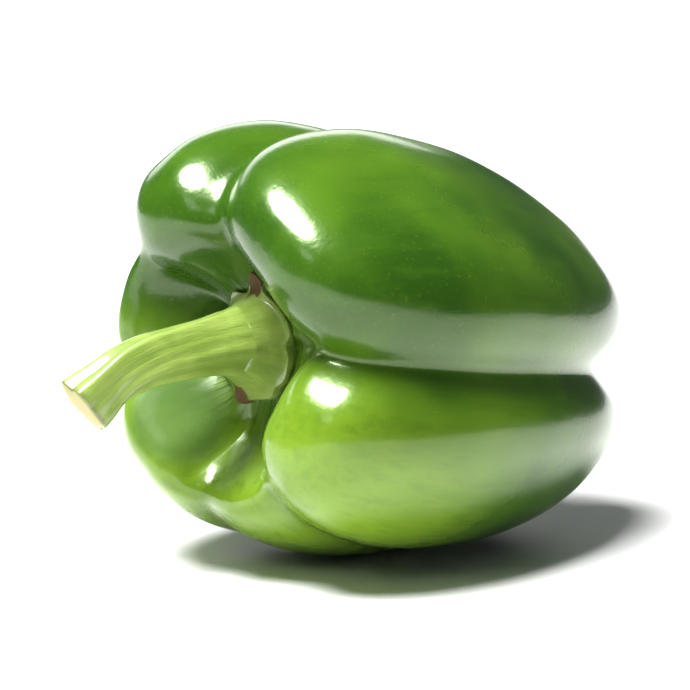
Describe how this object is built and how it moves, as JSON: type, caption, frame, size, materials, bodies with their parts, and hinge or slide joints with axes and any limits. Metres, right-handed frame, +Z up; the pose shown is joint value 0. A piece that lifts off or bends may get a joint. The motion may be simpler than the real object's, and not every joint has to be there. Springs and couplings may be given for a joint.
{
  "type": "bell pepper",
  "caption": "Green bell pepper lying on its side, with deep rounded lobes, a hollow round the stem, and a short curved stem spreading into a calyx.",
  "frame": {"origin": "centre of the bounding box's bottom face, which is the table that the pepper lies on", "axes": "+Z up; +X along the pepper's core towards the blossom end, so that the stem points to -X and a little up; +Y across it"},
  "size_m": [0.1222, 0.077, 0.0792],
  "materials": {
    "skin": "smooth waxy pepper skin, deep green with lighter lime green shoulders",
    "stem": "ridged fibrous green stem, slightly glossy, with a dry tan cut end"
  },
  "bodies": {
    "root": {"fruit": "skin", "stem_with_calyx": "stem"}
  },
  "joints": []
}
